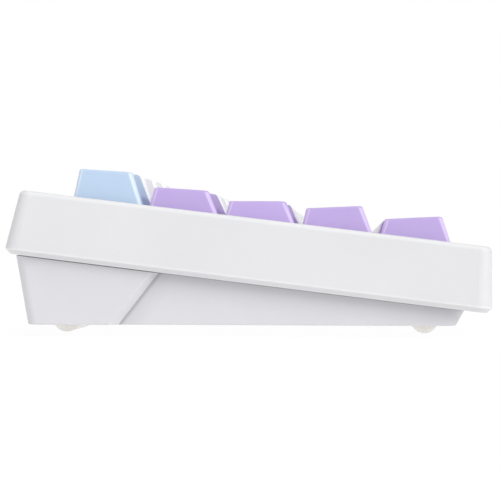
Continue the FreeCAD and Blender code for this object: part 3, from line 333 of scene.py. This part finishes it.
def laminate(name):
    """Circuit board: lacquer over woven glass, with paler runs where copper lies under it."""
    n = Nodes(name)
    weave = n.sum(n.add("ShaderNodeTexWave", {"Vector": n.place, "Scale": 520.0, "Distortion": 0.4},
                        bands_direction="X").outputs["Fac"],
                  n.add("ShaderNodeTexWave", {"Vector": n.place, "Scale": 520.0, "Distortion": 0.4},
                        bands_direction="Y").outputs["Fac"], "MULTIPLY")
    runs = n.add("ShaderNodeTexBrick", {"Vector": n.place, "Scale": 90.0, "Mortar Size": 0.035,
                                        "Color1": (0, 0, 0, 1), "Color2": (0.15, 0.15, 0.15, 1),
                                        "Mortar": (1, 1, 1, 1)})
    tone = n.mix(runs.outputs["Color"], linear((18, 40, 34)), linear((34, 72, 58)))
    tone = n.mix(n.sum(weave, 0.14, "MULTIPLY"), tone, linear((70, 110, 92)))
    tone = n.mix(n.sum(n.edges(0.2), 0.5, "MULTIPLY"), tone, linear((170, 160, 110)))
    n.bump(n.sum(weave, runs.outputs["Fac"]), 0.02)
    return n.finish(tone, n.span(n.noise(6.0), 0.3, 0.7, 0.28, 0.4))


def rubber(name):
    """Milky silicone rubber: dull, a little see-through, with grit pressed into its sole."""
    n = Nodes(name)
    cloud = n.noise(7.0, detail=4.0)
    grit = n.span(n.noise(0.5, detail=4.0, roughness=0.75), 0.60, 0.74)
    low = n.span(n.add("ShaderNodeSeparateXYZ", {"Vector": n.place}).outputs["Z"], 0.0014, 0.0)
    tone = n.mix(n.span(cloud, 0.3, 0.7), linear((226, 223, 217)), linear((240, 238, 234)))
    tone = n.mix(n.sum(n.sum(grit, low, "MULTIPLY"), 0.55, "MULTIPLY"), tone, linear((120, 112, 100)))
    tone = n.mix(n.sum(n.edges(0.5), 0.3, "MULTIPLY"), tone, linear((249, 248, 246)))
    n.bump(n.sum(n.noise(0.35, detail=3.0), n.sum(grit, 0.4, "MULTIPLY")), 0.02)
    n.shader.inputs["Subsurface Radius"].default_value = (0.003, 0.0028, 0.0025)
    return n.finish(tone, n.span(cloud, 0.3, 0.7, 0.52, 0.68), Subsurface_Weight=0.3)


def electronics(name):
    """Black epoxy packages, satin with a fine matte grain."""
    n = Nodes(name)
    fine = n.noise(0.12, detail=3.0)
    tone = n.mix(n.span(n.noise(3.0), 0.3, 0.7), linear((20, 20, 22)), linear((34, 34, 37)))
    tone = n.mix(n.sum(n.edges(0.12), 0.5, "MULTIPLY"), tone, linear((90, 90, 95)))
    n.bump(fine, 0.01)
    return n.finish(tone, n.span(fine, 0.3, 0.7, 0.42, 0.58))


def ink(name):
    """Dyed legend: dark grey that lets the cap's grain through."""
    n = Nodes(name)
    fine = n.noise(0.16, detail=3.0, roughness=0.65)
    tone = n.mix(n.span(fine, 0.25, 0.75), linear((54, 54, 66)), linear((76, 76, 88)))
    n.bump(fine, 0.008)
    return n.finish(tone, n.span(fine, 0.3, 0.7, 0.50, 0.62))


def floor_finish(name):
    """A light table: it glows evenly and takes only faint shadows."""
    n = Nodes(name)
    cloud = n.noise(300, detail=2.0)
    tone = n.mix(n.span(cloud, 0.3, 0.7), (0.12, 0.12, 0.121, 1), (0.13, 0.13, 0.131, 1))
    return n.finish(tone, n.span(cloud, 0.3, 0.7, 0.85, 0.92), Specular_IOR_Level=0.0,
                    Emission_Color=(1, 1, 1, 1), Emission_Strength=0.90)


FINISH = {
    "case_plastic": moulded("case_white", (222, 222, 224), 0.50, grain=0.32, depth=0.010, edge_width=0.9,
                            mottle=0.012, gloss=0.45, crease_shade=0.14, edge_wear_and_highlight=(0.30, 0.06)),
    "base_plastic": moulded("base_white", (219, 218, 222), 0.55, grain=0.42, depth=0.014, edge_width=0.7,
                            mottle=0.015, gloss=0.4, crease_shade=0.18, reach=2.5, shut=0.75,
                            shadow=step_shadow),
    "purple_caps": moulded("cap_purple", (184, 163, 218), 0.46, grain=0.22, depth=0.009, edge_width=0.75,
                           mottle=0.02, gloss=0.5, subsurface=0.06, edge_wear_and_highlight=(0.10, 0.02), corner=(218, 200, 240)),
    "blue_caps": moulded("cap_blue", (185, 206, 231), 0.46, grain=0.22, depth=0.009, edge_width=0.75,
                         mottle=0.02, gloss=0.5, subsurface=0.06, edge_wear_and_highlight=(0.10, 0.02), corner=(220, 234, 248)),
    "white_caps": moulded("cap_white", (240, 240, 243), 0.46, grain=0.22, depth=0.009, edge_width=0.75,
                          mottle=0.012, gloss=0.5, subsurface=0.06),
    "plate_paint": painted_plate("plate_powder_coat"),
    "board_laminate": laminate("board_lacquer"),
    "component_black": electronics("component_epoxy"),
    "socket_steel": metal("socket_nickel", (206, 206, 204), 0.26, along=(1, 1, 6)),
    "screw_steel": metal("screw_zinc", (150, 152, 158), 0.34),
    "spring_steel": metal("spring_drawn_steel", (196, 197, 200), 0.24, along=(3, 3, 0.4)),
    "contact_brass": metal("contact_copper_alloy", (206, 156, 92), 0.3, along=(1, 1, 0.3), tarnish=(120, 78, 40)),
    "switch_lower": clear_plastic("switch_lower_nylon", (212, 214, 220), 0.42),
    "switch_upper": clear_plastic("switch_upper_polycarbonate", (224, 227, 232), 0.24),
    "stabiliser_plastic": clear_plastic("stabiliser_nylon", (218, 220, 222), 0.4),
    "foot_rubber": rubber("foot_silicone"),
}
STEM_FINISH = moulded("switch_stem", (226, 150, 168), 0.32, grain=0.3, depth=0.004, edge_width=0.2, mottle=0.02)
INK = ink("legend_dye")


# --- helpers for meshes ---------------------------------------------------------------------------------------------

def shade(obj, angle=32.0):
    """Smooth shading with crisp edges where faces meet at more than the angle."""
    obj.data.polygons.foreach_set("use_smooth", [True] * len(obj.data.polygons))
    obj.data.set_sharp_from_angle(angle=math.radians(angle))


def make_piece(name, bm, material, body, nodes=(), angle=32.0):
    """A new piece from a bmesh in millimetres, in the world frame, riding on a body."""
    bmesh.ops.recalc_face_normals(bm, faces=bm.faces)
    bm.transform(Matrix.Scale(MM, 4))
    data = bpy.data.meshes.new(name)
    bm.to_mesh(data)
    bm.free()
    data.materials.append(material)
    obj = bpy.data.objects.new(name, data)
    bpy.context.scene.collection.objects.link(obj)
    shade(obj, angle)
    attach(obj, body)
    if nodes:
        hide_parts(*nodes)
    return obj


def bridge(bm, lower, upper):
    """Faces between two closed rings with the same number of points."""
    count = len(lower)
    for i in range(count):
        j = (i + 1) % count
        corners = [lower[i], lower[j], upper[j], upper[i]]
        if len(set(corners)) == 4:
            bm.faces.new(corners)


# --- keycaps --------------------------------------------------------------------------------------------------------

class CapShape:
    """A keycap's outside, z = 0 at its lower edge: leaning faces, rounded corners, a soft top edge and a dish."""

    CORNER_STEPS = 6
    SIDE_INSET = 2.9
    WALL = 1.35
    DISH = 0.5

    def __init__(self, row, width):
        self.rear, self.rear_rise, self.front, self.front_rise = ROW_PROFILES[row]
        self.width = width
        self.half_x = (PITCH * width - CAP_GAP) / 2
        self.half_y = (PITCH - CAP_GAP) / 2
        self.middle_rise = (self.rear_rise + self.front_rise) / 2
        self.x_steps = max(8, round(9 * width))
        self.y_steps = 8
        self.top_half_x = self.half_x - self.SIDE_INSET - 0.55

    def top_level(self, y):
        share = (y - self.front) / (self.rear - self.front)
        return self.front_rise + (self.rear_rise - self.front_rise) * share

    def scoop(self, x, y):
        """How far the top is dished at a point; the space bar is crowned instead."""
        across = min(1.0, abs(x) / self.top_half_x)
        if self.width > 6:
            middle = (self.rear + self.front) / 2
            reach = (self.rear - self.front) / 2
            return 0.28 * min(1.0, abs(y - middle) / reach) ** 2
        return self.DISH * (1 - across * across)

    def edges(self, level, inset=0.0):
        """Half widths at the front and rear, and y and z of the front and rear edges, at a share of the height."""
        z_front, z_rear = level * self.front_rise, level * self.rear_rise
        y_front = -self.half_y + (self.front + self.half_y) * level + inset
        y_rear = self.half_y + (self.rear - self.half_y) * level - inset
        lean = self.SIDE_INSET / self.middle_rise
        return (self.half_x - lean * z_front - inset, self.half_x - lean * z_rear - inset,
                y_front, y_rear, z_front, z_rear)

    def ring(self, level, corner, inset=0.0, dish=0.0):
        """Points round the cap at a share of its height, pulled in by inset; dish is the share of the dish there."""
        x_front, x_rear, y_front, y_rear, z_front, z_rear = self.edges(level, inset)
        corner = max(0.0, min(corner, 0.98 * (y_rear - y_front) / 2))
        square = [(x_rear, y_rear), (-x_rear, y_rear), (-x_front, y_front), (x_front, y_front)]
        plan = []
        for index, here in enumerate(square):
            before, after = Vector(square[index - 1]), Vector(square[(index + 1) % 4])
            here = Vector(here)
            start = here + (before - here).normalized() * corner if (before - here).length > 1e-6 else here
            end = here + (after - here).normalized() * corner if (after - here).length > 1e-6 else here
            weight = math.sqrt(0.5)
            for step in range(self.CORNER_STEPS + 1):
                t = step / self.CORNER_STEPS
                a, b, c = (1 - t) ** 2, 2 * t * (1 - t) * weight, t * t
                plan.append((a * start + b * here + c * end) / (a + b + c))
            ends = self.x_steps if index % 2 == 0 else self.y_steps
            after_start = after + (here - after).normalized() * corner if (after - here).length > 1e-6 else after
            plan += [end.lerp(after_start, step / ends) for step in range(1, ends)]
        points = []
        for spot in plan:
            share = (spot.y - y_front) / (y_rear - y_front) if y_rear - y_front > 1e-6 else 0.5
            z = z_front + (z_rear - z_front) * share if inset == 0 else level * self.top_level(spot.y)
            points.append(Vector((spot.x, spot.y, z - dish * self.scoop(spot.x, spot.y))))
        return points


def add_ring(bm, points):
    return [bm.verts.new(p) for p in points]


def cross_prism(bm, x, low, high):
    """A round post with a plus-shaped socket, as one closed shell."""
    radius, turns, socket_depth, lead_in = 2.75, 28, 3.8, 0.15
    long, thick = 4.1 / 2, 1.27 / 2
    plus = [(thick, thick), (thick, long), (-thick, long), (-thick, thick), (-long, thick), (-long, -thick),
            (-thick, -thick), (-thick, -long), (thick, -long), (thick, -thick), (long, -thick), (long, thick)]
    depth = min(high - 0.4, low + socket_depth)
    outer = [(radius * math.cos(2 * math.pi * i / turns), radius * math.sin(2 * math.pi * i / turns))
             for i in range(turns)]
    rim_low = add_ring(bm, [Vector((x + a, b, low + lead_in)) for a, b in outer])
    share = (radius - lead_in) / radius
    rim = add_ring(bm, [Vector((x + a * share, b * share, low)) for a, b in outer])
    rim_high = add_ring(bm, [Vector((x + a, b, high)) for a, b in outer])
    hole = add_ring(bm, [Vector((x + a, b, low)) for a, b in plus])
    hole_deep = add_ring(bm, [Vector((x + a, b, depth)) for a, b in plus])
    bridge(bm, rim_low, rim_high)
    bridge(bm, rim, rim_low)
    bridge(bm, hole, hole_deep)
    bm.faces.new(rim_high)
    bm.faces.new(hole_deep)
    loops = [bm.edges.get((ring[i], ring[(i + 1) % len(ring)])) for ring in (rim, hole) for i in range(len(ring))]
    bmesh.ops.triangle_fill(bm, edges=loops, use_beauty=True)


def cap_mesh(row, width):
    """The whole cap as a bmesh: outside, lower lip, inside and posts."""
    shape = CapShape(row, width)
    bm = bmesh.new()
    lip = 0.12
    rings = [
        shape.ring(0.0, inset=lip, corner=0.9),
        shape.ring(lip / shape.middle_rise, corner=0.95),
    ]
    for level in (0.2, 0.45, 0.7):
        rings.append(shape.ring(level, corner=0.95 + 0.3 * level, dish=level ** 4))
    # the soft top edge: an arc from the side, round the edge, to the top
    tangent = 0.42
    side_level = 1 - tangent / shape.middle_rise
    side = shape.ring(side_level, corner=1.25, dish=1.0)
    edge = shape.ring(1.0, corner=1.3, dish=1.0)
    top = shape.ring(1.0, inset=tangent, corner=1.2, dish=1.0)
    rings.append(side)
    weight = 0.8
    for step in range(1, 6):
        t = step / 6
        a, b, c = (1 - t) ** 2, 2 * t * (1 - t) * weight, t * t
        rings.append([(a * p + b * q + c * r) / (a + b + c) for p, q, r in zip(side, edge, top)])
    rings.append(top)
    # rings close over the top until its shorter way across is nearly used up, and a face fills the slot that is left
    reach = min((shape.rear - shape.front) / 2, *shape.edges(1.0)[:2])
    for share in (0.22, 0.42, 0.62, 0.82, 0.97):
        inset = tangent + (reach - tangent) * share
        rings.append(shape.ring(1.0, inset=inset, corner=1.2 * (1 - share), dish=1.0))
    loops = [add_ring(bm, ring) for ring in rings]
    for lower, upper in zip(loops, loops[1:]):
        bridge(bm, lower, upper)
    bm.faces.new(loops[-1])
    # the inside: a straight cavity with a flat ceiling
    wall = shape.WALL
    inner_low = add_ring(bm, shape.ring(0.0, inset=wall, corner=0.7))
    bridge(bm, inner_low, loops[0])
    ceiling_level = 1 - (wall + 0.55) / shape.middle_rise
    inner_high = []
    for point in shape.ring(ceiling_level, corner=0.9):
        pull = wall * 1.05
        inner_high.append(Vector((math.copysign(max(0.0, abs(point.x) - pull), point.x),
                                  point.y - math.copysign(pull, point.y), point.z)))
    inner_top = add_ring(bm, inner_high)
    bridge(bm, inner_top, inner_low)
    bm.faces.new(inner_top)
    bmesh.ops.remove_doubles(bm, verts=bm.verts, dist=0.004)
    reach = STABILISER_REACH.get(width)
    low = 0.3
    for x in ([0] if reach is None else [-reach, 0, reach]):
        cross_prism(bm, x, low, shape.middle_rise - wall - 0.2)
    return bm, shape


def mark_corner_highlights(data):
    """A value of 1 along the cap's upright corners, where the cap's material paints a highlight, fading to 0 on its
    faces.
    """
    turn = {}
    normals = [polygon.normal.copy() for polygon in data.polygons]
    for polygon in data.polygons:
        for edge in polygon.edge_keys:
            turn.setdefault(edge, []).append(polygon.index)
    marks = [0.0] * len(data.vertices)
    for edge, sides in turn.items():
        if len(sides) == 2:
            a, b = normals[sides[0]], normals[sides[1]]
            along = (data.vertices[edge[1]].co - data.vertices[edge[0]].co).normalized()
            upright = abs(along.dot(NORMAL)) > 0.75 and max(a.dot(NORMAL), b.dot(NORMAL)) < 0.6
            if upright:
                strength = min(1.0, max(0.0, a.angle(b, 0.0) / math.radians(5) - 1.4))
                for vertex in edge:
                    marks[vertex] = max(marks[vertex], strength)
    data.attributes.new("corner", "FLOAT", "POINT").data.foreach_set("value", marks)


def legend_size(text):
    """Height of the letters: single letters are large, two signs one above the other smaller, words smallest."""
    if "\n" in text:
        return 3.5
    return 4.9 if len(text) == 1 else 3.0


def make_legend(name, text, shape, place, body):
    """The key's dyed legend: letters that follow the dish and stand a few hundredths proud of it."""
    curve = bpy.data.curves.new(name + "_letters", "FONT")
    curve.body = text
    curve.size = legend_size(text)
    curve.space_line = 0.86
    curve.align_x = "LEFT"
    curve.align_y = "TOP"
    curve.extrude = 0.03
    curve.resolution_u = 5
    text_obj = bpy.data.objects.new(name + "_letters", curve)
    bpy.context.scene.collection.objects.link(text_obj)
    bpy.context.view_layer.update()
    bm = bmesh.new()
    data = bpy.data.meshes.new_from_object(text_obj)
    bm.from_mesh(data)
    bpy.data.objects.remove(text_obj)
    bpy.data.meshes.remove(data)
    bmesh.ops.triangulate(bm, faces=bm.faces)
    left = -shape.top_half_x + 1.35
    rear = shape.rear - 1.9
    for v in bm.verts:
        x, y = v.co.x + left, v.co.y + rear
        lift = 0.014 if v.co.z > 0 else -0.06
        v.co = Vector((x, y, shape.top_level(y) - shape.scoop(x, y) + lift))
    bm.transform(place)
    return make_piece(name + "_legend", bm, INK, body, angle=60.0)


def make_keys():
    for name, row, left, width, legend in KEYS:
        x, y = key_centre(row, left, width)
        place = BOARD @ Matrix.Translation((x, y, CAP_LEVEL))
        body = body_of_key(name)
        slot = "purple_caps" if name in PURPLE_KEYS else "blue_caps" if name in BLUE_KEYS else "white_caps"
        bm, shape = cap_mesh(row, width)
        bm.transform(place)
        cap = make_piece(name + "_cap", bm, FINISH[slot], body, [body])
        mark_corner_highlights(cap.data)
        weighted = cap.modifiers.new("weighted_normals", "WEIGHTED_NORMAL")
        weighted.keep_sharp = True
        if legend:
            make_legend(name, legend, shape, place, body)


def islands(bm):
    """Groups of connected vertices."""
    seen = set()
    for start in bm.verts:
        if start in seen:
            continue
        group, queue = [], [start]
        seen.add(start)
        while queue:
            v = queue.pop()
            group.append(v)
            for edge in v.link_edges:
                other = edge.other_vert(v)
                if other not in seen:
                    seen.add(other)
                    queue.append(other)
        yield group


def make_stems():
    """The sliders and stabiliser stems of each key body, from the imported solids, with their edges broken."""
    bodies = sorted({body_of_key(key[0]) for key in KEYS})
    to_board = BOARD.inverted()
    for body in bodies:
        bm = bmesh.new()
        bm.from_mesh(frame["nodes"][body].data)
        bm.transform(Matrix.Scale(1 / MM, 4))
        bmesh.ops.remove_doubles(bm, verts=bm.verts, dist=0.001)
        drop = [v for group in islands(bm)
                if min((to_board @ v.co).z for v in group) > CAP_LEVEL - 0.5
                for v in group]
        bmesh.ops.delete(bm, geom=drop, context="VERTS")
        bmesh.ops.dissolve_limit(bm, angle_limit=math.radians(1), verts=bm.verts, edges=bm.edges)
        stem = make_piece(body.replace("_keys", "").replace("_key", "") + "_stems", bm, STEM_FINISH, body,
                          nodes=[body])
        soften(stem, 0.12)


def soften(obj, width, segments=2):
    bevel = obj.modifiers.new("broken_edges", "BEVEL")
    bevel.width = width * MM
    bevel.segments = segments
    bevel.limit_method = "ANGLE"
    bevel.angle_limit = math.radians(40)
    bevel.harden_normals = True
    return bevel


# --- springs --------------------------------------------------------------------------------------------------------

# ends of a spring at rest, above the plate's top
SPRING_LOW = -3.8
SPRING_HIGH = 4.6
SPRING_RADIUS = 1.95
SPRING_WIRE = 0.17


def coil(bm, place, low, high, turns=9.0, steps=14, sides=6):
    """A compression spring with closed ends, as a tube along a helix."""
    count = int(turns * steps)
    previous = None
    for i in range(count + 1):
        share = i / count
        angle = 2 * math.pi * turns * share
        # the end turns lie close together and the middle ones are spread
        rise = share - 0.075 * math.sin(2 * math.pi * share)
        centre = Vector((SPRING_RADIUS * math.cos(angle), SPRING_RADIUS * math.sin(angle),
                         low + SPRING_WIRE + (high - low - 2 * SPRING_WIRE) * rise))
        outward = Vector((math.cos(angle), math.sin(angle), 0))
        ring = []
        for k in range(sides):
            turn = 2 * math.pi * k / sides
            ring.append(bm.verts.new(place @ (centre + outward * (SPRING_WIRE * math.cos(turn))
                                              + Vector((0, 0, SPRING_WIRE * math.sin(turn))))))
        if previous:
            bridge(bm, previous, ring)
        else:
            bm.faces.new(ring)
        previous = ring
    bm.faces.new(previous)


def make_springs():
    """One piece of coils for each key body; they stand in the case."""
    for body in sorted({body_of_key(key[0]) for key in KEYS}):
        bm = bmesh.new()
        for name, row, left, width, _ in KEYS:
            if body_of_key(name) == body:
                x, y = key_centre(row, left, width)
                coil(bm, BOARD @ Matrix.Translation((x, y, PLATE_LEVEL)), SPRING_LOW, SPRING_HIGH)
        spring = make_piece(body.replace("_keys", "").replace("_key", "") + "_spring", bm, FINISH["spring_steel"],
                            "case", ["switch_springs"], angle=80.0)
        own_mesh(spring)


# --- feet -----------------------------------------------------------------------------------------------------------

FOOT_PLACES = {"left_rear": (-117.0, 48.2), "right_rear": (117.0, 48.2), "left_front": (-117.0, -43.9),
               "right_front": (117.0, -43.9)}
FOOT_HEIGHT = 3.05
FOOT_RADIUS = 3.55
FOOT_LENGTH = 27.4


def foot_mesh(x, y):
    """A half-round rubber bar with domed ends, worn flat where it touches the ground."""
    bm = bmesh.new()
    arc, around = 9, 40
    half = FOOT_LENGTH / 2 - FOOT_RADIUS
    rings = []
    for step in range(arc + 1):
        # from the seat down to the flat patch, level z on a circle that would reach just below the ground
        z = FOOT_HEIGHT * (1 - step / arc) ** 1.6
        reach = math.sqrt(max(0.35, FOOT_RADIUS ** 2 - (FOOT_RADIUS - z - 0.08) ** 2))
        ring = []
        for k in range(around):
            turn = 2 * math.pi * k / around
            side = half if math.cos(turn) > 0 else -half
            ring.append(bm.verts.new((x + side + reach * math.cos(turn), y + reach * math.sin(turn), z)))
        rings.append(ring)
    bm.faces.new(rings[0])
    bm.faces.new(rings[-1])
    for upper, lower in zip(rings, rings[1:]):
        bridge(bm, upper, lower)
    return bm


def make_feet():
    for name, (x, y) in FOOT_PLACES.items():
        make_piece("foot_" + name, foot_mesh(x, y), FINISH["foot_rubber"], "case", ["rubber_feet"],
                   angle=50.0)


# --- the CAD nodes that stay ----------------------------------------------------------------------------------------

def dress_nodes():
    """Every carried-over node gets its slot's finish and crisp smooth shading."""
    slots = {part["node"]: part["material_slot"] for part in frame["record"]["subparts"]}
    for name, obj in frame["nodes"].items():
        finish = FINISH[slots[name]]
        obj.data.materials.clear()
        obj.data.materials.append(finish)
        shade(obj, 30.0)


# --- floor, light and camera ----------------------------------------------------------------------------------------

def make_floor():
    reach = 8.0
    bm = bmesh.new()
    corners = [(-reach, -reach), (reach, -reach), (reach, reach), (-reach, reach)]
    bm.faces.new([bm.verts.new((x, y, 0)) for x, y in corners])
    data = bpy.data.meshes.new("floor")
    bm.to_mesh(data)
    bm.free()
    data.materials.append(floor_finish("floor_pale"))
    floor = bpy.data.objects.new("floor", data)
    bpy.context.scene.collection.objects.link(floor)


def softbox(name, azimuth, elevation, strength, spread):
    """A distant lamp as wide as spread degrees, so that its shadows are soft and it lights the floor evenly."""
    data = bpy.data.lights.new(name, "SUN")
    data.energy = strength
    data.angle = math.radians(spread)
    obj = bpy.data.objects.new(name, data)
    a, e = math.radians(azimuth), math.radians(elevation)
    towards = Vector((math.sin(a) * math.cos(e), -math.cos(a) * math.cos(e), math.sin(e)))
    obj.rotation_mode = "QUATERNION"
    obj.rotation_quaternion = towards.to_track_quat("Z", "Y")
    bpy.context.scene.collection.objects.link(obj)


def make_lights():
    world = bpy.data.worlds.new("studio")
    bpy.context.scene.world = world
    world.use_nodes = True
    tree = world.node_tree
    background = tree.nodes["Background"]
    background.inputs["Color"].default_value = (1.0, 1.0, 1.0, 1)
    # the backdrop that shows is white, and lights the object a little less
    seen = tree.nodes.new("ShaderNodeLightPath").outputs["Is Camera Ray"]
    level = tree.nodes.new("ShaderNodeMapRange")
    level.inputs["To Min"].default_value = 0.38
    level.inputs["To Max"].default_value = 1.0
    tree.links.new(seen, level.inputs["Value"])
    tree.links.new(level.outputs["Result"], background.inputs["Strength"])
    softbox("softbox_top", -66, 70, 1.35, 60)
    softbox("softbox_front", -28, 26, 1.25, 24)
    softbox("softbox_rear", -135, 25, 0.40, 25)


def make_camera():
    data = bpy.data.cameras.new("camera")
    data.sensor_width = 36.0
    data.lens = 2.594 * data.sensor_width
    data.clip_start, data.clip_end = 0.01, 20
    camera = bpy.data.objects.new("camera", data)
    camera.location = (-0.4594, -0.0250, 0.0211)
    yaw = math.radians(4.39)
    camera.rotation_mode = "QUATERNION"
    camera.rotation_quaternion = Vector((math.cos(yaw), math.sin(yaw), 0)).to_track_quat("-Z", "Y")
    bpy.context.scene.collection.objects.link(camera)
    bpy.context.scene.camera = camera


dress_nodes()
make_keys()
make_stems()
make_springs()
make_feet()
make_floor()
make_lights()
make_camera()
bpy.context.scene.view_settings.view_transform = "Standard"
